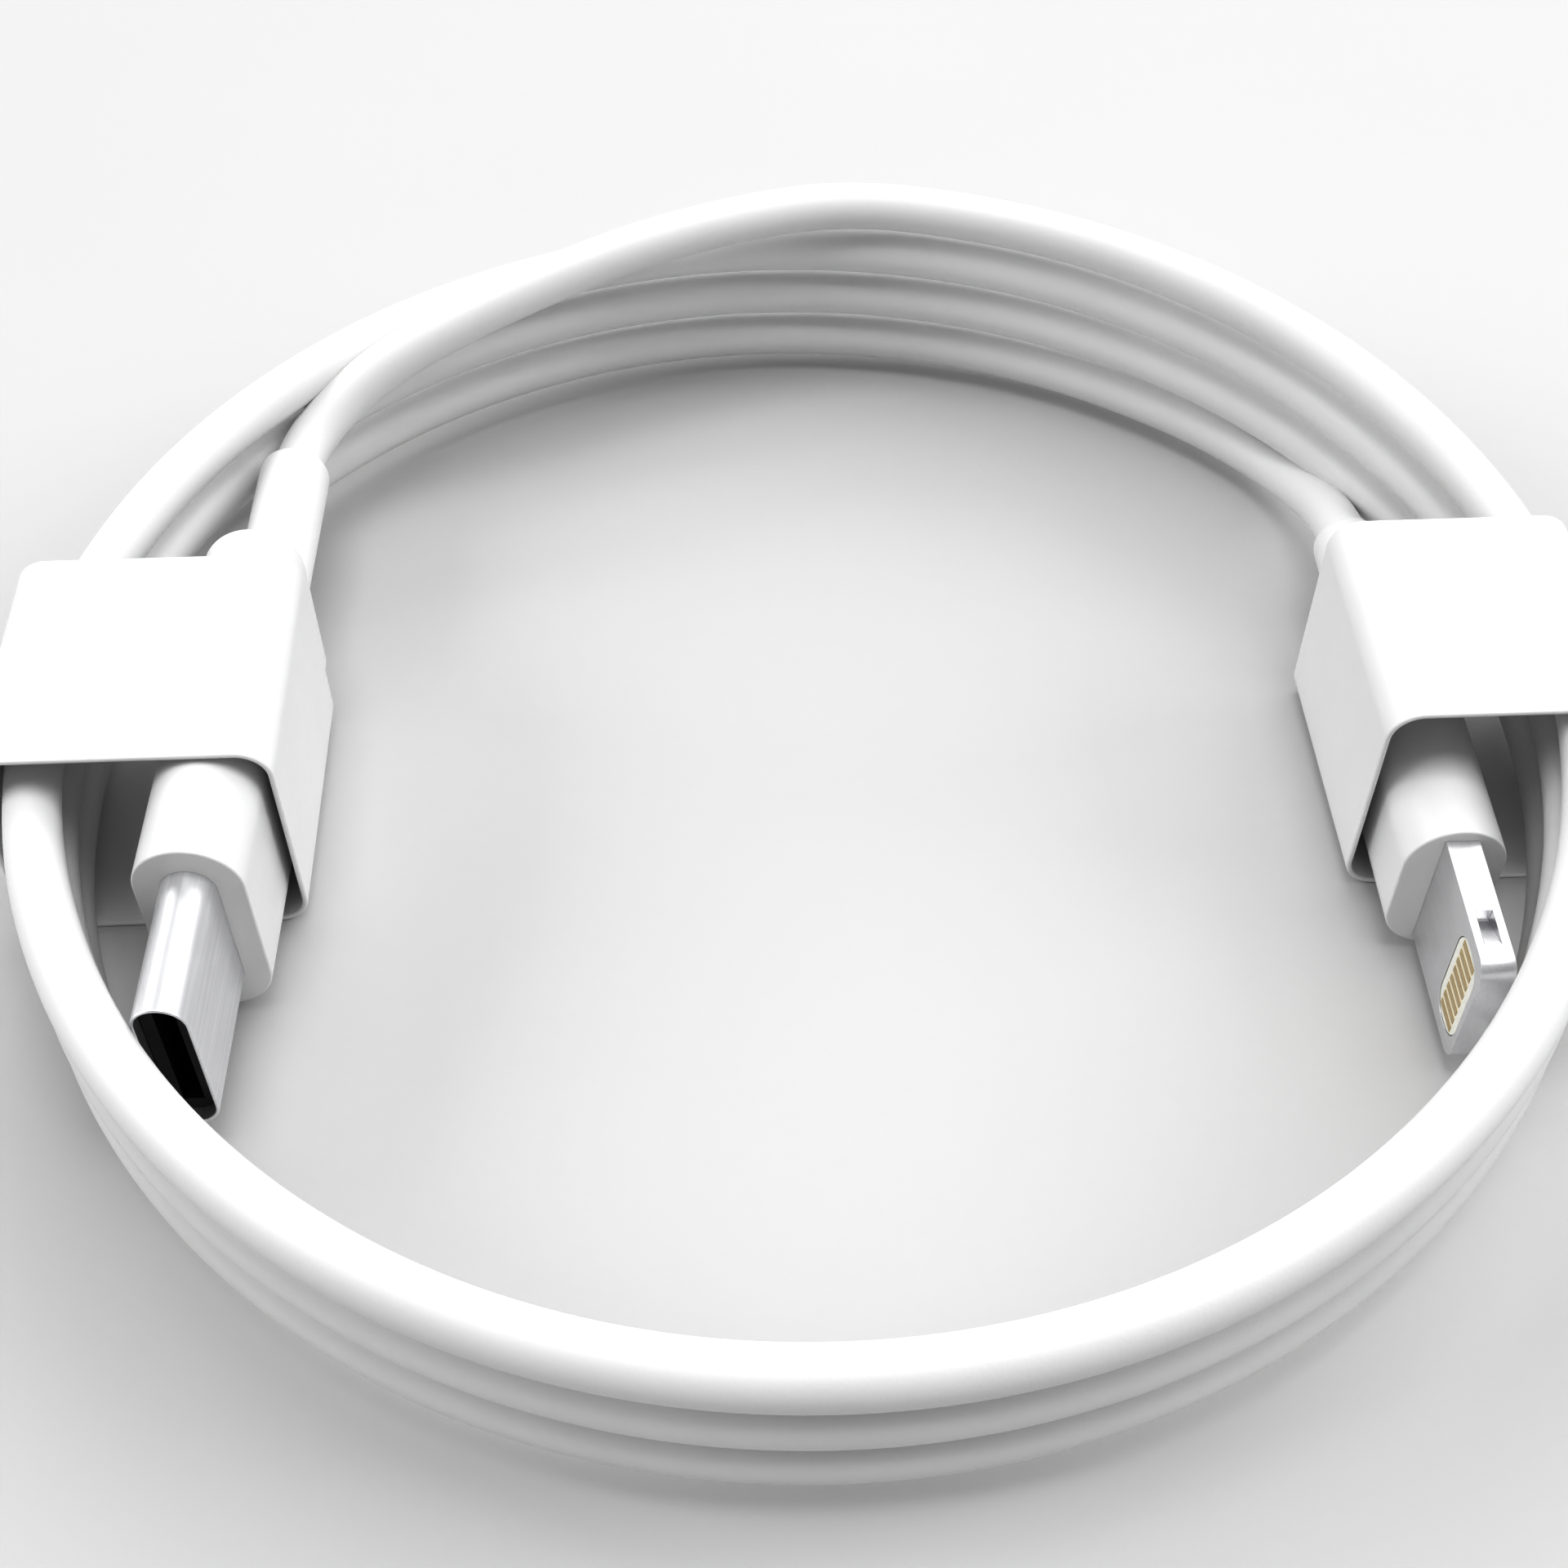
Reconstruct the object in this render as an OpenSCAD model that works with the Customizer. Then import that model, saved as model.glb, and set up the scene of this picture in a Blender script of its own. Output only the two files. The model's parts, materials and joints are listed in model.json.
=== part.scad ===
// Charging cable with a plug at each end, wound into a flat ring and held by two sleeves.
// The ring lies around the Z axis with its floor at z = 0. The plugs lie on edge inside the
// ring, one at each side, and both point towards -Y. Each plug is modelled in its own frame:
// its tip points to -Y, the flat front face of its housing is the plane y = 0, X runs
// through its thickness and Z across its width.

/* [Cable] */
// Diameter of the round cable
cable_d = 2.5; // [2.2:0.1:3]
// Radius of the ring, to the middle of the cable
ring_r = 34.8; // [33:0.1:45]
// Rise from one turn to the next
turn_step = 2.95; // [2.6:0.05:3.3]
// Number of rises between the lowest and the highest turn of the stack
stack_steps = 2.8; // [2.8:0.1:3.2]

/* [Reversible plug] */
// Thickness of the moulded housing
c_t = 4.8; // [4.4:0.05:5.8]
// Width of the moulded housing
c_w = 10.8; // [10.2:0.1:13]
// Length of the moulded housing
c_l = 20.5; // [18:0.1:25]
// Wall of the moulded housing
c_wall = 0.7; // [0.5:0.05:0.8]
// Rounding of the housing's rear edges
c_round = 1.2; // [1:0.1:2.1]
// Thickness of the metal shell
c_shell_t = 2.4; // [2.2:0.05:2.8]
// Width of the metal shell
c_shell_w = 8.25; // [7.2:0.05:8.8]
// Sheet thickness of the metal shell
c_shell_wall = 0.15; // [0.15:0.05:0.3]
// Length of the shell that stands out of the housing
c_shell_out = 7.1; // [6:0.1:8]
// Length of the shell that sits inside the housing
c_shell_in = 3.4; // [2.5:0.1:4]
// Height of the mating slot in the plastic tongue frame
c_slot_t = 0.9; // [0.8:0.05:1.1]
// Width of the mating slot in the plastic tongue frame
c_slot_w = 6.5; // [6.2:0.05:6.7]
// Diameter of the strain relief collar
c_collar_d = 3.6; // [3.3:0.05:4]
// Length of the strain relief collar
c_collar_l = 10; // [5:0.1:12]
// Turn of the plug about the vertical, seen from above
c_yaw = -1.5; // [-2:0.1:0]
// Shift of the plug towards its collar, from the middle of the ring
c_shift = 0.45; // [0:0.05:1]

/* [Slim plug] */
// Thickness of the moulded housing
t_t = 4.6; // [4.4:0.05:5.6]
// Width of the moulded housing
t_w = 7.85; // [7.6:0.05:9.5]
// Length of the moulded housing
t_l = 16.3; // [15:0.1:19.5]
// Wall of the moulded housing
t_wall = 0.7; // [0.5:0.05:0.8]
// Rounding of the housing's rear edges
t_round = 2; // [1:0.1:2.1]
// Thickness of the metal tab
tab_t = 1.5; // [1.4:0.05:1.8]
// Width of the metal tab
tab_w = 6.7; // [6.3:0.05:7.2]
// Length of the tab that stands out of the housing
tab_out = 7; // [5.5:0.1:7.9]
// Length of the tab's root inside the housing
tab_in = 3.6; // [2.5:0.1:4]
// Corner radius of the tab's tip
tab_corner = 0.8; // [0.3:0.1:1.2]
// Number of contacts on each side of the tab
contact_n = 8; // [8]
// Spacing of the contacts
contact_pitch = 0.6; // [0.5:0.01:0.6]
// Width of one contact
contact_w = 0.32; // [0.3:0.02:0.4]
// Length of one contact
contact_l = 1.6; // [1.4:0.1:1.8]
// Diameter of the strain relief collar
t_collar_d = 3.4; // [3.3:0.05:4]
// Length of the strain relief collar
t_collar_l = 7.1; // [5:0.1:8]
// Turn of the plug about the vertical, seen from above
t_yaw = -1; // [-1.5:0.1:0]
// Shift of the plug towards its tip, from the middle of the ring
t_shift = 1.95; // [0:0.05:2.5]

/* [Sleeves] */
// Length of each sleeve along the plugs
sleeve_l = 12.6; // [10:0.1:15]
// Wall of the sleeves
sleeve_wall = 0.25; // [0.15:0.05:0.3]
// Outer corner radius of the sleeves
sleeve_corner = 1.55; // [1.2:0.05:2]
// How far the sleeves slide towards the collars
slide_back = 3; // [1:0.5:4]
// Clearance between a sleeve's floor or roof and what it holds
sleeve_gap_z = 0.18; // [0.1:0.02:0.4]
// Clearance between a sleeve's outer wall and the ring
sleeve_gap_ring = 0.35; // [0.2:0.05:0.6]
// Clearance between the left sleeve and the reversible plug, at the far end of the slide
left_gap = 0.1; // [0.1:0.05:0.5]
// Clearance between the right sleeve and the front of the slim plug's housing
right_gap = 0.5; // [0.2:0.05:1.5]

/* [Fits] */
// Clearance between a plug and the inside of the ring
ring_gap = 0.04; // [0.04:0.02:0.4]
// Clearance around metal parts in the housings
metal_gap = 0.04; // [0.02:0.01:0.08]
// Clearance between electronic parts and the plastic around them
board_gap = 0.05; // [0.03:0.01:0.1]
// Clearance around the cable and the collar necks
bore_gap = 0.05; // [0.02:0.01:0.08]

/* [Insides] */
// Thickness of the circuit boards
board_t = 0.5; // [0.4:0.05:0.6]
// Sheet thickness of the shield cans
can_wall = 0.15; // [0.1:0.05:0.2]
// Clearance between the slim plug's shield cans and its housing
can_gap = 0.2; // [0.15:0.05:0.3]
// Diameter of one insulated wire
wire_d = 0.6; // [0.5:0.05:0.7]
// Wall of the crimp rings
crimp_wall = 0.25; // [0.2:0.05:0.3]
// Thickness of the walls behind the insides
rear_wall = 1.8; // [1.5:0.1:2.5]
// Thickness of the housings' front walls
front_wall = 1.2; // [0.8:0.1:1.5]
// Length of the housings' inside that the jacket's end and its crimp ring take up
crimp_room = 1.8; // [1.4:0.1:2]
// Rounding of the collars' ends
collar_round = 0.8; // [0.4:0.05:0.8]
// How deep the collars sit in the housings' rounded rear ends
collar_seat = 0.7; // [0.6:0.1:1]

/* [Hidden] */
CONTACTS = [for (side = ["a", "b"], i = [1:contact_n]) str("tab_contact_", side, i)];
WIRES = ["red", "black", "green", "white"];
$fn = 64;

// Diameter of a collar's neck in its housing's rear wall, and of the crimp rings.
function neck_d(collar_d) = (cable_d + collar_d) / 2;
crimp_d = cable_d + 2 * crimp_wall + 2 * metal_gap;

// Heights. The stack of turns and the plugs share the inside of the sleeves.
stack_h = cable_d + stack_steps * turn_step;
inner_h = max(stack_h, c_w, t_w) + 2 * sleeve_gap_z;
sleeve_h = inner_h + 2 * sleeve_wall;
stack_z = sleeve_wall + sleeve_gap_z;
c_z = sleeve_h / 2;
t_z = sleeve_wall + sleeve_gap_z + t_w / 2;

// Places of the plugs. Each lies as near to the turns as its two ends and its housing allow.
ring_in = ring_r - cable_d / 2;
ring_out = ring_r + cable_d / 2;
function reach(y, half) = sqrt(pow(ring_in - ring_gap, 2) - y * y) - half;
c_len = c_shell_out + c_l + c_collar_l;
c_y = c_shell_out - c_len / 2 + c_shift;
c_end = c_l + c_collar_l;
c_full = c_end - collar_round;
c_x = -min(
    reach(c_y - c_shell_out, c_shell_t / 2) + c_shell_out * sin(c_yaw),
    reach(c_y + c_full, c_collar_d / 2) - c_full * sin(c_yaw),
    reach(c_y + c_end, cable_d / 2) - c_end * sin(c_yaw),
    reach(c_y + c_l - c_round, c_t / 2) - (c_l - c_round) * sin(c_yaw)
);
t_len = tab_out + t_l + t_collar_l;
t_y = tab_out - t_len / 2 - t_shift;
t_x = min(
    reach(t_y - tab_out, tab_t / 2) - tab_out * sin(t_yaw),
    reach(t_y + t_l + t_collar_l, t_collar_d / 2) + (t_l + t_collar_l) * sin(t_yaw),
    reach(t_y + t_l - t_round, t_t / 2) + (t_l - t_round) * sin(t_yaw)
);

// Sides of the sleeves, from the ring on one side and the plug on the other.
sleeve_back = sleeve_l / 2 + slide_back;
left_near = min(sleeve_back - c_y, c_l - c_round);
left_in = c_x - left_near * tan(c_yaw) + c_t / 2 + left_gap + sleeve_wall;
left_out = -(ring_out + sleeve_gap_ring + sleeve_wall);
right_in = t_x - t_t / 2 - right_gap - sleeve_wall;
right_out = ring_out + sleeve_gap_ring + sleeve_wall;

// Insides of the reversible plug, along its length.
c_cavity_end = c_l - rear_wall;
c_liner_tip = 0.7;
c_board_y = c_shell_in + 0.4;
c_board_l = 10.7;
c_wire_l = 2.2;
c_jacket_y = c_cavity_end - crimp_room;
c_beam_tip = 2.8;
c_beam_pitch = 0.5;
c_beam_w = 0.26;
c_beam_t = 0.14;
c_beam_n = 12;

// Insides of the slim plug, along its length.
t_cavity_end = t_l - rear_wall;
t_board_l = 9.4;
t_wire_l = 1;
t_jacket_y = t_cavity_end - crimp_room;
pad_t = 0.35;
pad_margin = 0.35;
pad_l = 2.6;
pad_w = (contact_n - 1) * contact_pitch + contact_w + 0.7;
window_w = 4.5;
notch_y = 3.8;
notch_l = 1.8;
notch_w = 0.75;
notch_deep = 0.7;
notch_flat = 0.15;

// Wires leave the jacket in a square of four.
wire_off = board_t / 2 + wire_d / 2 + 0.02;
wire_side = 0.5;

// Route of the cable from the reversible plug up to the top turn, chosen by hand.
c_route = [
    [-25.7, 20.6, 5.95], [-25, 21.8, 6.35], [-23.8, 23, 7], [-22.2, 24.1, 7.85],
    [-20.3, 25, 8.7], [-16.6, 26.7, 9.7], [-12.6, 28.6, 10.4], [-7.7, 30.9, 10.9],
    [-2.3, 32.8, 11.1], [2.5, 34.2, 10.9]
];
// Route of the cable from the slim plug down to the lowest turn, chosen by hand.
t_route = [
    [28.6, 15, 3.85], [28.6, 16.7, 3.2], [28.3, 18.4, 2.55], [27.7, 20.1, 2.1], [26.8, 21.9, 1.8]
];
tube_sides = 8;

// ---- Shapes ------------------------------------------------------------------

// Extrudes an outline in X and Z along Y, from y0 over the length l.
module along(y0, l) {
    translate([0, y0 + l, 0]) rotate([90, 0, 0]) linear_extrude(l) children();
}

// A slot outline with round ends, thickness t along X and width w along Z.
module slot(t, w) {
    square([t, w - t], center = true);
    for (s = [-1, 1]) translate([0, s * (w - t) / 2]) circle(d = t);
}

// A rectangle with round corners between two opposite corners.
module round_box(x0, x1, y0, y1, r) {
    translate([x0 + r, y0]) square([x1 - x0 - 2 * r, y1 - y0]);
    translate([x0, y0 + r]) square([x1 - x0, y1 - y0 - 2 * r]);
    for (x = [x0 + r, x1 - r], y = [y0 + r, y1 - r]) translate([x, y]) circle(r);
}

// A block centred on X and Z that starts at y0.
module block(t, y0, l, w) {
    translate([-t / 2, y0, -w / 2]) cube([t, l, w]);
}

// A round rod along Y.
module rod(d, y0, l) {
    along(y0, l) circle(d = d);
}

// Half of a housing's outline in its middle plane: half the thickness h, length l, rear
// corner rounded by r.
module shoulder(h, l, r) {
    square([h, l - r]);
    square([h - r, l]);
    translate([h - r, l - r]) circle(r);
}

// The outside of a housing: a slot outline whose rear edges are rounded.
module housing_body(t, w, l, r) {
    mid = (w - t) / 2;
    translate([0, 0, -mid]) linear_extrude(2 * mid) {
        shoulder(t / 2, l, r);
        mirror([1, 0]) shoulder(t / 2, l, r);
    }
    for (z = [-mid, mid]) translate([0, 0, z]) rotate([-90, 0, 0])
        rotate_extrude() intersection() {
            shoulder(t / 2, l, r);
            square([t, l]);
        }
}

// A hollow housing, open at the rear for its collar. Children are cut from its front.
module housing(t, w, l, wall, r, cavity_end, collar_d) {
    difference() {
        housing_body(t, w, l, r);
        along(front_wall, cavity_end - front_wall) slot(t - 2 * wall, w - 2 * wall);
        rod(neck_d(collar_d) + 2 * bore_gap, cavity_end - 1, rear_wall + 2);
        rod(collar_d + 2 * bore_gap, l - collar_seat, collar_seat + 1);
        rod(crimp_d + 2 * metal_gap, cavity_end - crimp_room, crimp_room);
        children();
    }
}

// A strain relief collar with a neck through the housing's rear wall and a rounded end.
module collar(d, l, y0) {
    bore_r = cable_d / 2 + bore_gap;
    translate([0, y0, 0]) rotate([-90, 0, 0]) rotate_extrude() difference() {
        union() {
            translate([0, -rear_wall]) square([neck_d(d) / 2, rear_wall]);
            translate([0, -collar_seat]) square([d / 2, l + collar_seat - collar_round]);
            translate([d / 2 - collar_round, l - collar_round]) circle(collar_round);
        }
        translate([0, -rear_wall - 1]) square([bore_r, l + rear_wall + 2]);
    }
}

// The metal ring that grips the end of the cable's jacket.
module crimp(y0, l) {
    difference() {
        rod(crimp_d, y0, l);
        rod(cable_d + 2 * metal_gap, y0 - 1, l + 2);
    }
}

// One of the four insulated wires, numbered as in WIRES.
module wire(i, y0, l) {
    x = i < 2 ? wire_off : -wire_off;
    z = i % 2 == 0 ? wire_side : -wire_side;
    translate([x, 0, z]) rod(wire_d, y0, l);
}

// A shield can that reaches t from the middle plane, open towards the board and at both ends.
module half_can(side, t, y0, l, w) {
    foot = board_t / 2 + board_gap;
    inner = [t - foot + 1 - can_wall, l + 2, w - 2 * can_wall];
    scale([side, 1, 1]) difference() {
        translate([foot, y0, -w / 2]) cube([t - foot, l, w]);
        translate([foot - 1, y0 - 1, -w / 2 + can_wall]) cube(inner);
    }
}

// A vector of length 1, and the direction of a route at point i, from the one before it to
// the one after it.
function unit(v) = v / norm(v);
function heading(p, i) = unit(p[min(i + 1, len(p) - 1)] - p[max(i - 1, 0)]);

// A round tube swept along a route. The first ring lies square to the direction "start".
module tube(route, start) {
    n = len(route);
    rings = [for (i = [0:n - 1])
        let (t = i == 0 ? start : heading(route, i))
        let (u = unit(cross(t, [0, 0, 1])), v = cross(u, t))
        [for (k = [0:tube_sides - 1])
            let (a = 360 * (k + 0.5) / tube_sides)
            route[i] + cable_d / 2 * (cos(a) * u + sin(a) * v)]];
    points = [for (ring = rings, q = ring) q];
    sides = [for (i = [0:n - 2], k = [0:tube_sides - 1])
        let (a = i * tube_sides + k, b = i * tube_sides + (k + 1) % tube_sides)
        [a, b, b + tube_sides, a + tube_sides]];
    first = [for (k = [tube_sides - 1:-1:0]) k];
    last = [for (k = [0:tube_sides - 1]) (n - 1) * tube_sides + k];
    polyhedron(points, concat([first], sides, [last]));
}

// Puts a plug's own frame in its place in the ring.
module at_c() {
    translate([c_x, c_y, c_z]) rotate([0, 0, c_yaw]) children();
}
module at_t() {
    translate([t_x, t_y, t_z]) rotate([0, 0, t_yaw]) children();
}
function c_point(y) = [c_x - y * sin(c_yaw), c_y + y * cos(c_yaw), c_z];
function t_point(y) = [t_x - y * sin(t_yaw), t_y + y * cos(t_yaw), t_z];

// ---- Cable and sleeves -------------------------------------------------------

// The stacked turns, as one ring of their outer shape.
module coil() {
    color("white") rotate_extrude($fn = 180) translate([ring_r, stack_z + stack_h / 2])
        slot(cable_d, stack_h);
}

module c_lead() {
    color("white") tube(concat([c_point(c_end)], c_route), [-sin(c_yaw), cos(c_yaw), 0]);
}

module tab_lead() {
    end = t_l + t_collar_l;
    color("white") tube(concat([t_point(end)], t_route), [-sin(t_yaw), cos(t_yaw), 0]);
}

module sleeve(x0, x1) {
    w = sleeve_wall;
    along(-sleeve_l / 2, sleeve_l) difference() {
        round_box(x0, x1, 0, sleeve_h, sleeve_corner);
        round_box(x0 + w, x1 - w, w, sleeve_h - w, sleeve_corner - w);
    }
}

module left_sleeve() {
    color("whitesmoke") sleeve(left_out, left_in);
}

module right_sleeve() {
    color("whitesmoke") sleeve(right_in, right_out);
}

// ---- Reversible plug ---------------------------------------------------------

module c_housing() {
    color("white") at_c() housing(c_t, c_w, c_l, c_wall, c_round, c_cavity_end, c_collar_d)
        along(-1, front_wall + 2) slot(c_shell_t + 2 * metal_gap, c_shell_w + 2 * metal_gap);
}

module c_collar() {
    color("white") at_c() collar(c_collar_d, c_collar_l, c_l);
}

module c_jacket() {
    color("white") at_c() rod(cable_d, c_jacket_y, c_end - c_jacket_y);
}

module c_crimp() {
    color("silver") at_c() crimp(c_jacket_y + 0.2, crimp_room - 0.4);
}

module c_shell() {
    inner_t = c_shell_t - 2 * c_shell_wall;
    inner_w = c_shell_w - 2 * c_shell_wall;
    color("silver") at_c() along(-c_shell_out, c_shell_out + c_shell_in) difference() {
        slot(c_shell_t, c_shell_w);
        slot(inner_t, inner_w);
    }
}

// The plastic frame in the shell, with the mating slot running right through it.
module c_liner() {
    t = c_shell_t - 2 * c_shell_wall - 2 * metal_gap;
    w = c_shell_w - 2 * c_shell_wall - 2 * metal_gap;
    l = c_shell_out - c_liner_tip + c_shell_in;
    color("black") at_c() along(c_liner_tip - c_shell_out, l) difference() {
        slot(t, w);
        square([c_slot_t, c_slot_w], center = true);
    }
}

// The flat spring in the middle plane, with one arm along each end of the slot.
module c_latch() {
    half = c_slot_w / 2 - 0.1;
    arm = 0.3;
    back = c_shell_in - 0.8;
    tip = c_beam_tip + 0.4 - c_shell_out;
    color("gray") at_c() rotate([0, -90, 0]) linear_extrude(0.16, center = true) polygon([
        [-half, tip], [-half + arm, tip], [-half + arm, -0.3], [half - arm, -0.3],
        [half - arm, tip], [half, tip], [half, back], [-half, back]
    ]);
}

// A row of contact beams along one side of the slot.
module c_beams(side) {
    y0 = c_beam_tip - c_shell_out;
    l = c_board_y + 1.4 - y0;
    x = c_slot_t / 2 - 0.02 - c_beam_t;
    for (i = [0:c_beam_n - 1]) {
        z = (i - (c_beam_n - 1) / 2) * c_beam_pitch;
        scale([side, 1, 1]) translate([x, y0, z - c_beam_w / 2]) cube([c_beam_t, l, c_beam_w]);
    }
}

module c_contacts_a() {
    color("gold") at_c() c_beams(-1);
}

module c_contacts_b() {
    color("gold") at_c() c_beams(1);
}

module c_board() {
    color("darkgreen") at_c() block(board_t, c_board_y, c_board_l, 7.2);
}

// The shield can around the board, open at both ends.
module c_can() {
    t = c_t - 2 * c_wall - 2 * board_gap;
    w = c_w - 2 * c_wall - 2 * board_gap;
    color("lightgray") at_c() along(c_board_y + 0.2, c_board_l - 1.5) difference() {
        slot(t, w);
        slot(t - 2 * can_wall, w - 2 * can_wall);
    }
}

module c_chip() {
    color("dimgray") at_c() translate([board_t / 2, c_board_y + 3.6, -1.5]) cube([0.7, 3, 3]);
}

module c_capacitors() {
    color("tan") at_c() for (z = [-2.2, -0.3, 1.6])
        translate([-board_t / 2 - 0.5, c_board_y + 4.2, z]) cube([0.5, 1, 0.6]);
}

module c_wire(i) {
    y0 = c_board_y + c_board_l - c_wire_l;
    color(WIRES[i]) at_c() wire(i, y0, c_jacket_y - y0);
}

// ---- Slim plug ---------------------------------------------------------------

module tab_housing() {
    color("white") at_t() housing(t_t, t_w, t_l, t_wall, t_round, t_cavity_end, t_collar_d)
        block(tab_t + 2 * metal_gap, -1, front_wall + 2, tab_w + 2 * metal_gap);
}

module tab_collar() {
    color("white") at_t() collar(t_collar_d, t_collar_l, t_l);
}

module tab_jacket() {
    color("white") at_t() rod(cable_d, t_jacket_y, t_l + t_collar_l - t_jacket_y);
}

module tab_crimp() {
    color("silver") at_t() crimp(t_jacket_y + 0.2, crimp_room - 0.4);
}

// The outline of the tab in its middle plane, with round corners at the tip.
module tab_outline() {
    root_w = min(tab_w, t_w - 2 * t_wall - 2 * board_gap) - 0.6;
    hw = tab_w / 2;
    translate([-hw, tab_corner - tab_out]) square([tab_w, tab_out - tab_corner + front_wall]);
    translate([-hw + tab_corner, -tab_out]) square([tab_w - 2 * tab_corner, tab_corner + 1]);
    for (s = [-1, 1]) translate([s * (hw - tab_corner), tab_corner - tab_out]) circle(tab_corner);
    translate([-root_w / 2, 0]) square([root_w, tab_in]);
}

// The latch notch on one narrow edge: a step at the rear and a ramp towards the tip.
module tab_notch() {
    hw = tab_w / 2;
    linear_extrude(notch_w, center = true) polygon([
        [hw - notch_deep, -notch_y], [hw + 0.1, -notch_y], [hw + 0.1, -notch_y - notch_l],
        [hw, -notch_y - notch_l], [hw - notch_deep, -notch_y - notch_flat]
    ]);
}

// The place of a contact pad in the middle plane.
module pad_outline(gap) {
    l = pad_l - 2 * gap;
    w = pad_w - 2 * gap;
    y = pad_margin - tab_out + pad_l / 2;
    r = pad_l * 0.42 - gap;
    translate([0, y]) round_box(-w / 2, w / 2, -l / 2, l / 2, r);
}

// Lays an outline drawn in Z and Y into the plug's middle plane, t thick.
module flat(t) {
    rotate([0, -90, 0]) linear_extrude(t, center = true) children();
}

module tab_frame() {
    slab = tab_t / 2 - pad_t;
    color("silver") at_t() difference() {
        flat(tab_t) tab_outline();
        flat(tab_t + 1) pad_outline(0);
        block(2 * slab, tab_corner + 0.4 - tab_out, tab_out + tab_in, window_w);
        for (s = [1, -1]) scale([1, 1, s]) rotate([0, -90, 0]) tab_notch();
    }
}

// Middle of contact i across the tab's width.
function contact_z(i) = (i - (contact_n + 1) / 2) * contact_pitch;

module contact_cut(i, gap) {
    y = pad_margin - tab_out + pad_l / 2;
    translate([contact_z(i), y]) square([contact_w + 2 * gap, contact_l + 2 * gap], center = true);
}

// The moulded pad on one side of the tab, with a pocket for each contact.
module tab_pad(side) {
    x = side * (tab_t / 2 - pad_t / 2);
    color("ivory") at_t() difference() {
        translate([x, 0, 0]) flat(pad_t - 2 * metal_gap) pad_outline(metal_gap);
        for (i = [1:contact_n]) translate([side * tab_t / 2, 0, 0]) flat(pad_t) contact_cut(i, 0.01);
    }
}

module tab_contact(side, i) {
    deep = pad_t / 2 - 0.02;
    x = side * (tab_t / 2 - deep / 2 - 0.01);
    color("goldenrod") at_t() translate([x, 0, 0]) flat(deep) contact_cut(i, 0);
}

module tab_board() {
    y0 = tab_corner + 0.6 - tab_out;
    color("darkgreen") at_t() block(board_t, y0, tab_out + t_board_l, window_w - 0.3);
}

// One of the two cans, as wide as the round sides of the housing's cavity let it be.
module tab_can(side) {
    cavity_r = t_t / 2 - t_wall;
    top = cavity_r - can_gap;
    w = t_w - t_t + 2 * sqrt(cavity_r * cavity_r - top * top) - 2 * can_gap;
    color("lightgray") at_t() half_can(side, top, tab_in + 0.4, t_board_l - tab_in - 1.6, w);
}

module tab_chip() {
    color("dimgray") at_t() translate([-board_t / 2 - 0.6, tab_in + 1.2, -1.2]) cube([0.6, 2.4, 2.4]);
}

module tab_wire(i) {
    y0 = t_board_l - t_wire_l + 0.2;
    color(WIRES[i]) at_t() wire(i, y0, t_jacket_y - y0);
}

coil();
c_lead();
tab_lead();
left_sleeve();
right_sleeve();
c_housing();
c_collar();
c_jacket();
c_crimp();
c_shell();
c_liner();
c_latch();
c_contacts_a();
c_contacts_b();
c_board();
c_can();
c_chip();
c_capacitors();
for (i = [0:3]) c_wire(i);
tab_housing();
tab_collar();
tab_jacket();
tab_crimp();
tab_frame();
tab_pad(-1);  // tab_pad_a
tab_pad(1);  // tab_pad_b
tab_board();
tab_can(-1);  // tab_can_a
tab_can(1);  // tab_can_b
tab_chip();
for (i = [0:3]) tab_wire(i);
for (i = [1:contact_n]) tab_contact(-1, i);
for (i = [1:contact_n]) tab_contact(1, i);
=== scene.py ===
"""Looks of the charging cable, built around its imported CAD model.

Each plug has a frame of its own, as in the CAD source: its tip points to -Y, X runs through
its thickness and Z across its width. Lengths are written in millimetres and turned into
metres where an object is made.
"""

import json
import math

import bmesh
import bpy
from mathutils import Matrix, Vector


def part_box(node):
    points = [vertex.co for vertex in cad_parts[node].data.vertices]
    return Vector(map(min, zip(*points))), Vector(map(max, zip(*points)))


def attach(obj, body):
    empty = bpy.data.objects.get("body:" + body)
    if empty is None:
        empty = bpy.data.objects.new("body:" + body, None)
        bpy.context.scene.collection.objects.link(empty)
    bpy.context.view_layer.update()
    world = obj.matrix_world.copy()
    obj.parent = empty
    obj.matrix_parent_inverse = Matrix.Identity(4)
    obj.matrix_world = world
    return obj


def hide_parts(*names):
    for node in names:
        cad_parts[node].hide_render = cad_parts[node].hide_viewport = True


MM = 0.001

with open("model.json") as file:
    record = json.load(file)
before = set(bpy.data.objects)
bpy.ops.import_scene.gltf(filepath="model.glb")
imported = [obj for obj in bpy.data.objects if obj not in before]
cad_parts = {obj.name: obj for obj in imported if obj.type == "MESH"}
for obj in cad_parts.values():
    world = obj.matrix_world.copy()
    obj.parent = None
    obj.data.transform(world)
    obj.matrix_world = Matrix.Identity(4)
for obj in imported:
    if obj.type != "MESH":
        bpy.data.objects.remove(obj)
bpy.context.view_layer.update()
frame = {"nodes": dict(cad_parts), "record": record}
slots = {part["node"]: part["material_slot"] for part in frame["record"]["subparts"]}


# ---- Camera ---------------------------------------------------------------------

CAMERA_AT = Vector((-3.77, -68.68, 80.31))
CAMERA_DOWN = 48.97  # degrees below the horizon
CAMERA_TURN = -2.27  # degrees about Z, from looking along +Y
CAMERA_ROLL = -0.2
CAMERA_LENS = 49.51  # mm, on a sensor 36 mm wide


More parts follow.
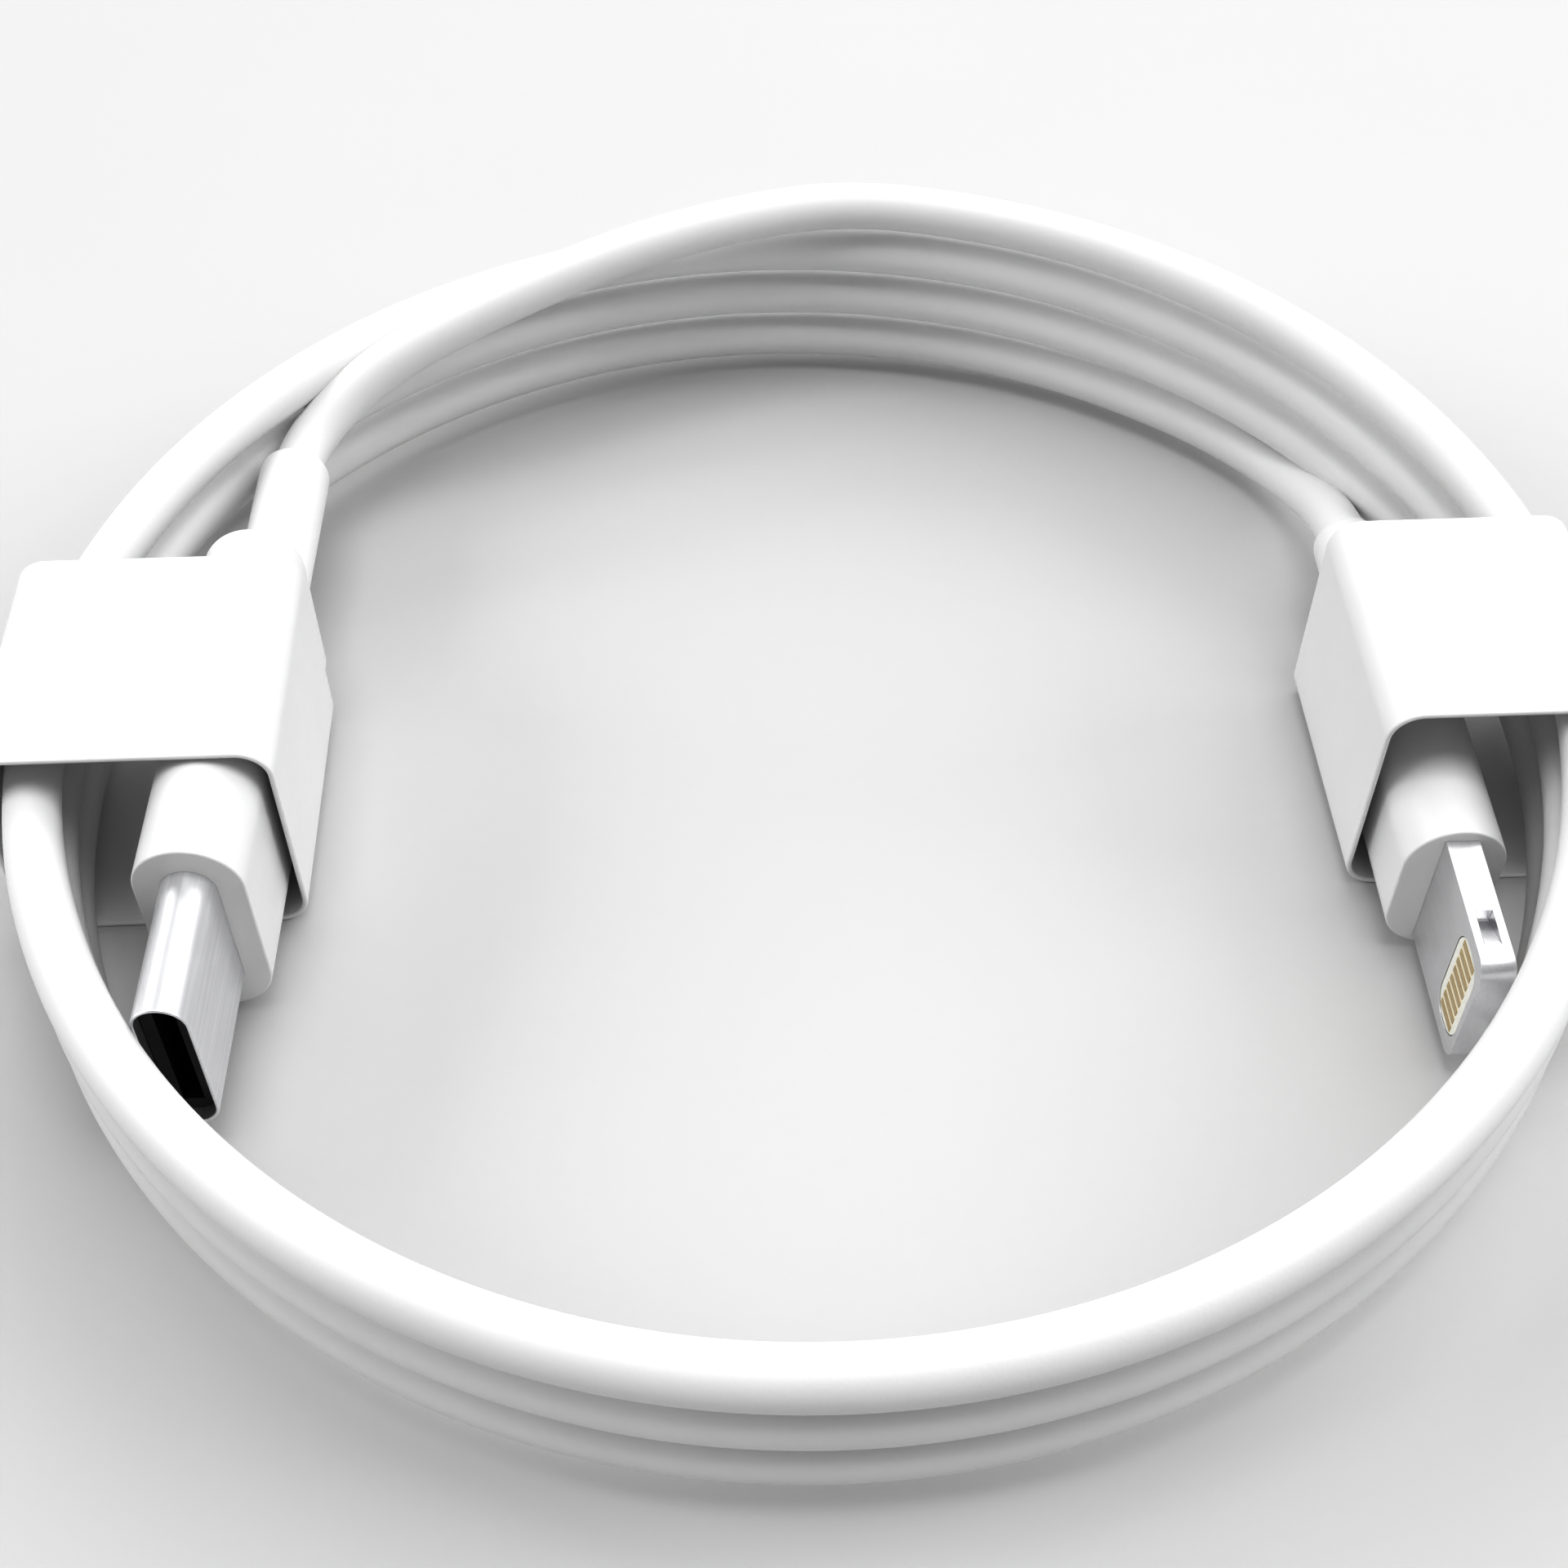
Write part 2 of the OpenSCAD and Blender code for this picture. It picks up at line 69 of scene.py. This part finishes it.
def make_camera():
    data = bpy.data.cameras.new("camera")
    data.sensor_width = 36
    data.lens = CAMERA_LENS
    data.clip_start = 0.005
    data.clip_end = 20
    cam = bpy.data.objects.new("camera", data)
    bpy.context.scene.collection.objects.link(cam)
    turn = Matrix.Rotation(math.radians(CAMERA_TURN), 4, "Z")
    down = Matrix.Rotation(math.radians(90 - CAMERA_DOWN), 4, "X")
    roll = Matrix.Rotation(math.radians(CAMERA_ROLL), 4, "Z")
    cam.matrix_world = Matrix.Translation(CAMERA_AT * MM) @ turn @ down @ roll
    bpy.context.scene.camera = cam


make_camera()


# ---- Measuring the frame --------------------------------------------------------


def middle(node):
    """Centre of a CAD node's box, in mm."""
    low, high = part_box(node)
    return (Vector(low) + Vector(high)) / 2 / MM


def plug_frame(tip, tail):
    """Matrix from a plug's own frame to the row's, from two nodes on the plug's axis."""
    back = (middle(tail) - middle(tip)).normalized()
    up = Vector((0, 0, 1))
    side = back.cross(up)
    turn = Matrix((side, back, up)).transposed().to_4x4()
    return Matrix.Translation(middle(tip)) @ turn


def own_box(node, at):
    """Lowest and highest corner of a CAD node in a plug's own frame, in mm."""
    inverse = at.inverted()
    points = [inverse @ (v.co / MM) for v in frame["nodes"][node].data.vertices]
    low = Vector([min(p[i] for p in points) for i in range(3)])
    high = Vector([max(p[i] for p in points) for i in range(3)])
    return low, high


def rebased(at, node):
    """The same frame, with y = 0 at the node's front."""
    return at @ Matrix.Translation((0, own_box(node, at)[0].y, 0))


C_AT = rebased(plug_frame("c_shell", "c_collar"), "c_housing")
T_AT = rebased(plug_frame("tab_frame", "tab_collar"), "tab_housing")
C_END = own_box("c_collar", C_AT)[1].y
T_END = own_box("tab_collar", T_AT)[1].y


# ---- Meshes ---------------------------------------------------------------------

SHARP = 35  # degrees between two faces from which their edge stays sharp
SAME_PLACE = 1e-7  # metres within which vertices are merged


def mesh_piece(name, bm):
    """An object from a bmesh, smooth but for its sharp edges."""
    for face in bm.faces:
        face.smooth = True
    for edge in bm.edges:
        flat = len(edge.link_faces) == 2 and edge.calc_face_angle(0) < math.radians(SHARP)
        edge.smooth = flat
    mesh = bpy.data.meshes.new(name)
    bm.to_mesh(mesh)
    bm.free()
    piece = bpy.data.objects.new(name, mesh)
    bpy.context.scene.collection.objects.link(piece)
    weighted = piece.modifiers.new("weighted", "WEIGHTED_NORMAL")
    weighted.keep_sharp = True
    return piece


# ---- Cable ----------------------------------------------------------------------

CABLE_D = 2.5
RING_R = 34.8
TURN_STEP = 2.95
TOP_Z = 10.8  # middle of the cable at the back of the ring, where the top turn starts
LOW_Z = 1.72  # the lowest that the middle of the cable comes
TURN_POINTS = 24
TURN_FROM = 0.03  # in turns, clockwise from the back as seen from above
TURN_TO = 3.12
COLLAR_COVER = 0.5  # how far the cable goes into a collar
CABLE_STEP = 0.8  # spacing of the finished cable's points
CABLE_SIDES = 32
EASING_ROUNDS = 12

# The same points as in the CAD source: from the reversible plug up to the top turn, and from
# the slim plug down to the lowest one. The first route's fifth to ninth points began as a fit
# to the object's outline and were then rounded and adjusted. The rest are given.
C_ROUTE = [
    (-25.7, 20.6, 5.95), (-25, 21.8, 6.35), (-23.8, 23, 7), (-22.2, 24.1, 7.85),
    (-20.3, 25, 8.7), (-16.6, 26.7, 9.7), (-12.6, 28.6, 10.4), (-7.7, 30.9, 10.9),
    (-2.3, 32.8, 11.1), (2.5, 34.2, 10.9),
]
T_ROUTE = [
    (28.6, 15, 3.85), (28.6, 16.7, 3.2), (28.3, 18.4, 2.55), (27.7, 20.1, 2.1), (26.8, 21.9, 1.8),
]


def turn_point(turns):
    """Middle of the cable so many turns after the back of the ring."""
    a = 2 * math.pi * turns
    z = max(LOW_Z, TOP_Z - TURN_STEP * turns)
    return Vector((RING_R * math.sin(a), RING_R * math.cos(a), z))


def cable_route():
    """The cable's control points, from the reversible plug to the slim plug."""
    points = [C_AT @ Vector((0, C_END - COLLAR_COVER, 0)), C_AT @ Vector((0, C_END, 0))]
    points += [Vector(p) for p in C_ROUTE]
    count = round((TURN_TO - TURN_FROM) * TURN_POINTS)
    for i in range(count + 1):
        points.append(turn_point(TURN_FROM + (TURN_TO - TURN_FROM) * i / count))
    points += [Vector(p) for p in reversed(T_ROUTE)]
    points += [T_AT @ Vector((0, T_END, 0)), T_AT @ Vector((0, T_END - COLLAR_COVER, 0))]
    return points


def smooth_line(points, step):
    """A centripetal Catmull-Rom line through the points, with a point about every step."""
    padded = [2 * points[0] - points[1], *points, 2 * points[-1] - points[-2]]
    line = []
    for p0, p1, p2, p3 in zip(padded, padded[1:], padded[2:], padded[3:]):
        t1 = (p1 - p0).length ** 0.5
        t2 = t1 + (p2 - p1).length ** 0.5
        t3 = t2 + (p3 - p2).length ** 0.5
        count = max(1, round((p2 - p1).length / step))
        for i in range(count):
            t = t1 + (t2 - t1) * i / count
            a1 = p0.lerp(p1, t / t1)
            a2 = p1.lerp(p2, (t - t1) / (t2 - t1))
            a3 = p2.lerp(p3, (t - t2) / (t3 - t2))
            b1 = a1.lerp(a2, t / t2)
            b2 = a2.lerp(a3, (t - t1) / (t3 - t1))
            line.append(b1.lerp(b2, (t - t1) / (t2 - t1)))
    line.append(points[-1])
    return line


def eased(line, rounds):
    """The line with each inner point drawn to the middle of its neighbours."""
    for _ in range(rounds):
        inner = [(a + 2 * b + c) / 4 for a, b, c in zip(line, line[1:], line[2:])]
        line = [line[0], *inner, line[-1]]
    return line


def tube(name, line, radius, sides):
    """A round tube along a line, with a closed end at each end of it."""
    bm = bmesh.new()
    rows = []
    side = Vector((0, 0, 1))
    for i, place in enumerate(line):
        ahead = (line[min(i + 1, len(line) - 1)] - line[max(i - 1, 0)]).normalized()
        side = (side - ahead * side.dot(ahead)).normalized()
        other = ahead.cross(side)
        row = []
        for k in range(sides):
            a = 2 * math.pi * k / sides
            place_on = place + radius * (math.cos(a) * side + math.sin(a) * other)
            row.append(bm.verts.new(place_on * MM))
        rows.append(row)
    for a, b in zip(rows, rows[1:]):
        for k in range(sides):
            j = (k + 1) % sides
            bm.faces.new((a[k], a[j], b[j], b[k]))
    bm.faces.new(rows[0])
    bm.faces.new(rows[-1])
    bmesh.ops.recalc_face_normals(bm, faces=bm.faces)
    return mesh_piece(name, bm)


def make_cable():
    line = eased(smooth_line(cable_route(), CABLE_STEP), EASING_ROUNDS)
    cable = tube("cable", line, CABLE_D / 2, CABLE_SIDES)
    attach(cable, "root")
    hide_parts("coil", "c_lead", "tab_lead")
    return cable


cable = make_cable()


# ---- Lofts ----------------------------------------------------------------------

CORNER_STEPS = 14
ARC_STEPS = 5
LONG_ARC_STEPS = 12


def outline(half_t, half_w, r):
    """Points round a rectangle with round corners, in X and Z, from four equal arcs."""
    points = []
    for quarter, (sx, sz) in enumerate(((1, 1), (-1, 1), (-1, -1), (1, -1))):
        for i in range(CORNER_STEPS + 1):
            a = math.pi / 2 * (quarter + i / CORNER_STEPS)
            x = sx * (half_t - r) + r * math.cos(a)
            z = sz * (half_w - r) + r * math.sin(a)
            points.append((x, z))
    return points


def loft(name, rings, at=None, centre=(0, 0), closed=False):
    """A mesh through rings of (y, half_t, half_w, corner r). A closed one joins the last
    ring to the first, and an open one gets flat ends."""
    at = at or Matrix()
    bm = bmesh.new()
    rows = []
    for y, half_t, half_w, r in rings:
        row = []
        for x, z in outline(half_t, half_w, r):
            place = at @ Vector((x + centre[0], y, z + centre[1]))
            row.append(bm.verts.new(place * MM))
        rows.append(row)
    pairs = list(zip(rows, rows[1:]))
    if closed:
        pairs.append((rows[-1], rows[0]))
    for a, b in pairs:
        for i in range(len(a)):
            j = (i + 1) % len(a)
            bm.faces.new((a[i], a[j], b[j], b[i]))
    if not closed:
        bm.faces.new(rows[0])
        bm.faces.new(rows[-1])
    bmesh.ops.remove_doubles(bm, verts=bm.verts, dist=SAME_PLACE)
    bmesh.ops.recalc_face_normals(bm, faces=bm.faces)
    return mesh_piece(name, bm)


def arc(start, end, steps=ARC_STEPS):
    """Cosine and sine at even steps from one angle to another, in degrees."""
    for i in range(steps + 1):
        a = math.radians(start + (end - start) * i / steps)
        yield math.cos(a), math.sin(a)


def stands_for(piece, node, body):
    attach(piece, body)
    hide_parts(node)
    return piece


# ---- Sleeves --------------------------------------------------------------------

SLEEVE_WALL = 0.25
SLEEVE_CORNER = 1.55
RIM_ROUND = 0.11


def sleeve(node):
    """A thin flat box, open at the front and the back, with round rims."""
    low, high = [Vector(v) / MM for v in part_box(node)]
    half = (high - low) / 2
    centre = (low + high) / 2

    def ring(y, inset):
        return (y, half.x - inset, half.z - inset, SLEEVE_CORNER - inset)

    rings = []
    for end, first, last in ((low.y, 180, 90), (high.y, 90, 0)):
        side = 1 if end == low.y else -1
        for c, s in arc(first, last):
            y = end + side * RIM_ROUND + RIM_ROUND * c
            rings.append(ring(y, RIM_ROUND * (1 - s)))
    for end, first, last in ((high.y, 0, -90), (low.y, -90, -180)):
        side = 1 if end == low.y else -1
        for c, s in arc(first, last):
            y = end + side * RIM_ROUND + RIM_ROUND * c
            rings.append(ring(y, SLEEVE_WALL - RIM_ROUND * (1 + s)))
    piece = loft(node + "_film", rings, centre=(centre.x, centre.z), closed=True)
    return stands_for(piece, node, node)


sleeves = [sleeve("left_sleeve"), sleeve("right_sleeve")]


# ---- Housings and collars -------------------------------------------------------

FRONT_ROUND = 0.1
MOUTH_GAP = 0.005  # between a housing's mouth and the metal in it
MOUTH_DEPTH = 0.8
C_MOUTH_R = 1.204  # corner of the mouth round the shell, a little more than the shell's own
T_MOUTH_R = 0.07
C_REAR_ROUND = 1.2
T_REAR_ROUND = 2
SEAT_DEPTH = 0.7  # how far a collar goes into its housing
SEAT_GAP = 0.05
COLLAR_ROUND = 0.8
CABLE_GAP = 0.02  # between a collar's end and the cable
DIP_SHARE = 0.6  # depth of the dip round the cable, as a share of the collar's rounding


def housing(node, collar, tip, mouth_r, rear, at):
    """A housing's shell: its mouth round the tip's metal, front, sides and rear, which is
    rounded by so many mm."""
    half_t, length, half_w = own_box(node, at)[1]
    tip_high = own_box(tip, at)[1]
    tip_t = tip_high.x + MOUTH_GAP
    tip_w = tip_high.z + MOUTH_GAP
    seat = own_box(collar, at)[1].x + SEAT_GAP
    rings = [(MOUTH_DEPTH, tip_t, tip_w, mouth_r), (0, tip_t, tip_w, mouth_r)]

    def body_ring(y, inset):
        return (y, half_t - inset, half_w - inset, half_t - inset)

    for c, s in arc(180, 90):
        rings.append(body_ring(FRONT_ROUND * (1 + c), FRONT_ROUND * (1 - s)))
    for c, s in arc(90, 0, LONG_ARC_STEPS):
        rings.append(body_ring(length - rear * (1 - c), rear * (1 - s)))
    rings.append((length, seat, seat, seat))
    rings.append((length - SEAT_DEPTH, seat, seat, seat))
    return stands_for(loft(node + "_shell", rings, at), node, "root")


def collar(node, at):
    """A strain relief collar with a round end that closes on the cable."""
    r, end, _ = own_box(node, at)[1]
    hole = CABLE_D / 2 + CABLE_GAP
    seat = own_box(node.replace("collar", "housing"), at)[1].y - SEAT_DEPTH
    rings = [(seat, r, r, r)]
    for c, s in arc(90, 0, LONG_ARC_STEPS):
        inset = COLLAR_ROUND * (1 - s)
        rings.append((end - COLLAR_ROUND * (1 - c), r - inset, r - inset, r - inset))
    rings = [ring for ring in rings if ring[1] > hole]
    rings.append((end - COLLAR_ROUND * DIP_SHARE, hole, hole, hole))
    return stands_for(loft(node + "_relief", rings, at), node, "root")


housings = [
    housing("c_housing", "c_collar", "c_shell", C_MOUTH_R, C_REAR_ROUND, C_AT),
    housing("tab_housing", "tab_collar", "tab_frame", T_MOUTH_R, T_REAR_ROUND, T_AT),
]
collars = [collar("c_collar", C_AT), collar("tab_collar", T_AT)]


# ---- Metal tips -----------------------------------------------------------------

SHELL_WALL = 0.15
TAB_EDGE = 0.03  # rounding of the tab's edges
EDGE_STEPS = 3
FLAT = 1  # degrees within which the CAD mesh's faces are joined


def plug_shell():
    """The drawn metal shell, with a round rim at its mouth."""
    low, high = own_box("c_shell", C_AT)
    rim = SHELL_WALL / 2

    def ring(y, inset):
        return (y, high.x - inset, high.z - inset, high.x - inset)

    rings = [ring(high.y, SHELL_WALL), ring(high.y, 0)]
    for c, s in arc(90, 270, 2 * ARC_STEPS):
        rings.append(ring(low.y + rim * (1 + c), rim * (1 - s)))
    return stands_for(loft("c_shell_drawn", rings, C_AT, closed=True), "c_shell", "root")


def softened(node, name, edge):
    """A copy of a CAD node whose sharp edges are rounded off."""
    bm = bmesh.new()
    bm.from_mesh(frame["nodes"][node].data)
    bmesh.ops.remove_doubles(bm, verts=bm.verts, dist=SAME_PLACE)
    bmesh.ops.dissolve_limit(
        bm, angle_limit=math.radians(FLAT), verts=bm.verts, edges=bm.edges
    )
    piece = mesh_piece(name, bm)
    bevel = piece.modifiers.new("bevel", "BEVEL")
    bevel.width = edge * MM
    bevel.segments = EDGE_STEPS
    bevel.limit_method = "ANGLE"
    bevel.angle_limit = math.radians(SHARP)
    piece.modifiers.move(1, 0)
    return stands_for(piece, node, "root")


c_shell = plug_shell()
tab = softened("tab_frame", "tab_milled", TAB_EDGE)


# ---- Materials ------------------------------------------------------------------

# Angles that turn each plug's length onto Y, so that streaks run along it.
C_TURN = -math.atan2(C_AT[1][0], C_AT[0][0])
T_TURN = -math.atan2(T_AT[1][0], T_AT[0][0])

# The field of contacts on the tab's carrier, and how soft its edge is.
PAD_MIDDLE = Matrix.Rotation(T_TURN, 4, "Z") @ middle("tab_pad_a")
FIELD_HALF_L = 0.86
FIELD_HALF_W = 2.34
FIELD_EDGE = 0.05

# The part of a noise's range that holds most of its values.
NOISE_LOW = 0.3
NOISE_HIGH = 0.7


def node_of(tree, kind, **values):
    made = tree.nodes.new(kind)
    for key, value in values.items():
        setattr(made, key, value)
    return made


def plug_coords(tree, turn):
    """Object coordinates turned about Z, so that Y runs along a plug."""
    coords = node_of(tree, "ShaderNodeTexCoord")
    turned = node_of(tree, "ShaderNodeMapping")
    turned.inputs["Rotation"].default_value = (0, 0, turn)
    tree.links.new(coords.outputs["Object"], turned.inputs["Vector"])
    return turned.outputs["Vector"]


def noise(tree, scale, detail=2.0, stretch=(1, 1, 1), turn=0.0):
    """A noise texture whose scale is in features per millimetre, stretched along axes."""
    stretched = node_of(tree, "ShaderNodeMapping")
    stretched.inputs["Scale"].default_value = [s / MM for s in stretch]
    texture = node_of(tree, "ShaderNodeTexNoise")
    texture.inputs["Scale"].default_value = scale
    texture.inputs["Detail"].default_value = detail
    tree.links.new(plug_coords(tree, turn), stretched.inputs["Vector"])
    tree.links.new(stretched.outputs["Vector"], texture.inputs["Vector"])
    return texture.outputs["Fac"]


def spread(tree, value, low, high):
    """Maps the middle of a noise's range to low .. high."""
    remap = node_of(tree, "ShaderNodeMapRange")
    remap.inputs["From Min"].default_value = NOISE_LOW
    remap.inputs["From Max"].default_value = NOISE_HIGH
    remap.inputs["To Min"].default_value = low
    remap.inputs["To Max"].default_value = high
    tree.links.new(value, remap.inputs["Value"])
    return remap.outputs["Result"]


def tinted(tree, value, colour, change):
    """A colour that the noise makes lighter and darker by a share of itself."""
    mix = node_of(tree, "ShaderNodeMix", data_type="RGBA")
    dark = [c * (1 - change) for c in colour]
    light = [min(1, c * (1 + change)) for c in colour]
    mix.inputs[6].default_value = (*dark, 1)
    mix.inputs[7].default_value = (*light, 1)
    tree.links.new(spread(tree, value, 0, 1), mix.inputs[0])
    return mix.outputs[2]


def raised(tree, value, height, shader):
    """Bumps the shader's surface by the noise, height in millimetres."""
    bump = node_of(tree, "ShaderNodeBump")
    bump.inputs["Distance"].default_value = height * MM
    tree.links.new(value, bump.inputs["Height"])
    tree.links.new(bump.outputs["Normal"], shader.inputs["Normal"])


def new_material(name, roughness, metallic=0.0, **sockets):
    material = bpy.data.materials.new(name)
    material.use_nodes = True
    shader = material.node_tree.nodes["Principled BSDF"]
    shader.inputs["Roughness"].default_value = roughness
    shader.inputs["Metallic"].default_value = metallic
    for socket, value in sockets.items():
        shader.inputs[socket.replace("_", " ")].default_value = value
    return material, material.node_tree, shader


def moulded(name, colour, roughness, grain=6.0, height=0.004, change=0.012, **sockets):
    """Plastic with a fine grain, a slow drift of tone and a gloss that varies a little."""
    material, tree, shader = new_material(name, roughness, **sockets)
    fine = noise(tree, grain, 3)
    slow = noise(tree, 0.12, 2)
    tree.links.new(tinted(tree, slow, colour, change), shader.inputs["Base Color"])
    gloss = spread(tree, noise(tree, 0.8, 4), roughness - 0.05, roughness + 0.05)
    tree.links.new(gloss, shader.inputs["Roughness"])
    raised(tree, fine, height, shader)
    return material


def brushed(name, colour, roughness, turn, height=0.001, change=0.06, streak=8.0):
    """Metal brushed along a plug: fine streaks that run along Y, and a slow drift of tone."""
    material, tree, shader = new_material(name, roughness, 1.0)
    fine = noise(tree, streak, 3, (1, 0.012, 1), turn)
    wide = noise(tree, streak / 5, 2, (1, 0.02, 1), turn)
    slow = noise(tree, 0.5, 2)
    tone = tinted(tree, fine, colour, change)
    shade = node_of(tree, "ShaderNodeMix", data_type="RGBA", blend_type="MULTIPLY")
    shade.inputs[0].default_value = 1
    tree.links.new(tone, shade.inputs[6])
    tree.links.new(tinted(tree, slow, (0.97, 0.97, 0.97), 0.02), shade.inputs[7])
    tree.links.new(shade.outputs[2], shader.inputs["Base Color"])
    gloss = spread(tree, wide, roughness - 0.03, roughness + 0.03)
    tree.links.new(gloss, shader.inputs["Roughness"])
    raised(tree, fine, height, shader)
    return material


def padded_plastic(name, rim, field, roughness, turn, centre, half):
    """The contact carrier: pale at its rim, and warmer in the field that holds the contacts,
    which reaches half a length and half a width from its centre along Y and Z, in mm."""
    material, tree, shader = new_material(name, roughness)
    apart = node_of(tree, "ShaderNodeSeparateXYZ")
    tree.links.new(plug_coords(tree, turn), apart.inputs[0])
    sides = []
    for axis in (0, 1):
        off = node_of(tree, "ShaderNodeMath", operation="SUBTRACT")
        off.inputs[1].default_value = centre[axis] * MM
        tree.links.new(apart.outputs[axis + 1], off.inputs[0])
        far = node_of(tree, "ShaderNodeMath", operation="ABSOLUTE")
        tree.links.new(off.outputs[0], far.inputs[0])
        edge = node_of(tree, "ShaderNodeMapRange")
        edge.inputs["From Min"].default_value = (half[axis] - FIELD_EDGE) * MM
        edge.inputs["From Max"].default_value = (half[axis] + FIELD_EDGE) * MM
        tree.links.new(far.outputs[0], edge.inputs["Value"])
        sides.append(edge.outputs["Result"])
    outer = node_of(tree, "ShaderNodeMath", operation="MAXIMUM")
    tree.links.new(sides[0], outer.inputs[0])
    tree.links.new(sides[1], outer.inputs[1])
    mix = node_of(tree, "ShaderNodeMix", data_type="RGBA")
    tree.links.new(outer.outputs[0], mix.inputs[0])
    slow = noise(tree, 1.5, 3)
    tree.links.new(tinted(tree, slow, field, 0.04), mix.inputs[6])
    tree.links.new(tinted(tree, slow, rim, 0.02), mix.inputs[7])
    tree.links.new(mix.outputs[2], shader.inputs["Base Color"])
    raised(tree, noise(tree, 7, 3), 0.002, shader)
    return material


materials = {
    "cable_jacket": moulded("cable_jacket", (0.8, 0.8, 0.8), 0.5, 5, 0.006),
    "sleeve_film": moulded("sleeve_film", (0.8, 0.8, 0.8), 0.42, 8, 0.002),
    "housing": moulded("housing", (0.8, 0.8, 0.8), 0.34, 7, 0.002),
    "collar": moulded("collar", (0.8, 0.8, 0.8), 0.46, 6, 0.005),
    "crimp": brushed("crimp", (0.6, 0.6, 0.6), 0.35, C_TURN),
    "shell": brushed("shell", (0.86, 0.86, 0.87), 0.42, C_TURN, 0.0006, 0.05),
    "liner": moulded("liner", (0.012, 0.012, 0.012), 0.5, 5, 0.004, 0.2),
    "latch": brushed("latch", (0.55, 0.55, 0.55), 0.35, C_TURN),
    "contacts": brushed("contacts", (0.72, 0.61, 0.42), 0.36, T_TURN, 0.0003, 0.05),
    "board": moulded("board", (0.03, 0.16, 0.06), 0.4, 3, 0.003, 0.2),
    "can": brushed("can", (0.75, 0.75, 0.76), 0.32, C_TURN),
    "chip": moulded("chip", (0.03, 0.03, 0.03), 0.55, 9, 0.004, 0.2),
    "capacitor": moulded("capacitor", (0.5, 0.36, 0.22), 0.5, 5, 0.003, 0.1),
    "tab_metal": brushed("tab_metal", (0.84, 0.84, 0.85), 0.34, T_TURN, 0.0002, 0.03, 12),
    "pad": padded_plastic(
        "pad", (0.84, 0.84, 0.79), (0.86, 0.81, 0.66), 0.5, T_TURN,
        (PAD_MIDDLE.y, PAD_MIDDLE.z), (FIELD_HALF_L, FIELD_HALF_W),
    ),
    "wire_red": moulded("wire_red", (0.55, 0.03, 0.02), 0.4, 5, 0.003, 0.08),
    "wire_black": moulded("wire_black", (0.02, 0.02, 0.02), 0.4, 5, 0.003, 0.2),
    "wire_green": moulded("wire_green", (0.03, 0.32, 0.08), 0.4, 5, 0.003, 0.08),
    "wire_white": moulded("wire_white", (0.85, 0.85, 0.84), 0.4, 5, 0.003, 0.02),
}


def dress(pieces, slot):
    for piece in pieces:
        piece.data.materials.append(materials[slot])


for node, thing in frame["nodes"].items():
    thing.material_slots[0].material = materials[slots[node]]
dress([cable], "cable_jacket")
dress(sleeves, "sleeve_film")
dress(housings, "housing")
dress(collars, "collar")
dress([c_shell], "shell")
dress([tab], "tab_metal")


# ---- Floor and light ------------------------------------------------------------

FLOOR_TONE = 0.62
FLOOR_HALF = 2.0  # metres from the middle to each edge


def floor_material():
    material, tree, shader = new_material("floor", 0.75)
    slow = noise(tree, 0.02, 2)
    fine = noise(tree, 1.5, 3)
    tone = (FLOOR_TONE, FLOOR_TONE, FLOOR_TONE)
    tree.links.new(tinted(tree, slow, tone, 0.006), shader.inputs["Base Color"])
    raised(tree, fine, 0.002, shader)
    return material


def make_floor():
    mesh = bpy.data.meshes.new("floor")
    half = FLOOR_HALF
    corners = [(-half, -half, 0), (half, -half, 0), (half, half, 0), (-half, half, 0)]
    mesh.from_pydata(corners, [], [(0, 1, 2, 3)])
    floor = bpy.data.objects.new("floor", mesh)
    bpy.context.scene.collection.objects.link(floor)
    floor.data.materials.append(floor_material())


SOFTBOX_SIZE = 0.3  # metres
SOFTBOX_FAR = 0.6
# Softboxes round the object: degrees clockwise from the back, degrees above the floor, watts.
# The watts, the world's strength and the gamma come from a least-squares fit, rounded.
SOFTBOXES = [
    (0, 90, 1.3), (45, 60, 0.32), (90, 60, 0.42), (0, 32, 0.56), (45, 32, 0.45),
    (90, 32, 1.13), (270, 32, 1.22), (315, 32, 0.42),
]
WORLD_STRENGTH = 0.45
VIEW_GAMMA = 0.6  # the deep, bright tones of a product picture


def softbox(name, turn, rise, power):
    data = bpy.data.lights.new(name, "AREA")
    data.shape = "SQUARE"
    data.size = SOFTBOX_SIZE
    data.energy = power
    lamp = bpy.data.objects.new(name, data)
    turn = math.radians(turn)
    rise = math.radians(rise)
    flat = math.cos(rise)
    away = Vector((flat * math.sin(turn), flat * math.cos(turn), math.sin(rise)))
    lamp.location = away * SOFTBOX_FAR
    lamp.rotation_mode = "QUATERNION"
    lamp.rotation_quaternion = (-away).to_track_quat("-Z", "Y")
    bpy.context.scene.collection.objects.link(lamp)


def make_light():
    for turn, rise, power in SOFTBOXES:
        softbox(f"softbox_{turn}_{rise}", turn, rise, power)
    world = bpy.data.worlds.new("world")
    bpy.context.scene.world = world
    world.use_nodes = True
    background = world.node_tree.nodes["Background"]
    background.inputs["Color"].default_value = (1, 1, 1, 1)
    background.inputs["Strength"].default_value = WORLD_STRENGTH
    bpy.context.scene.view_settings.view_transform = "Standard"
    bpy.context.scene.view_settings.gamma = VIEW_GAMMA


make_floor()
make_light()
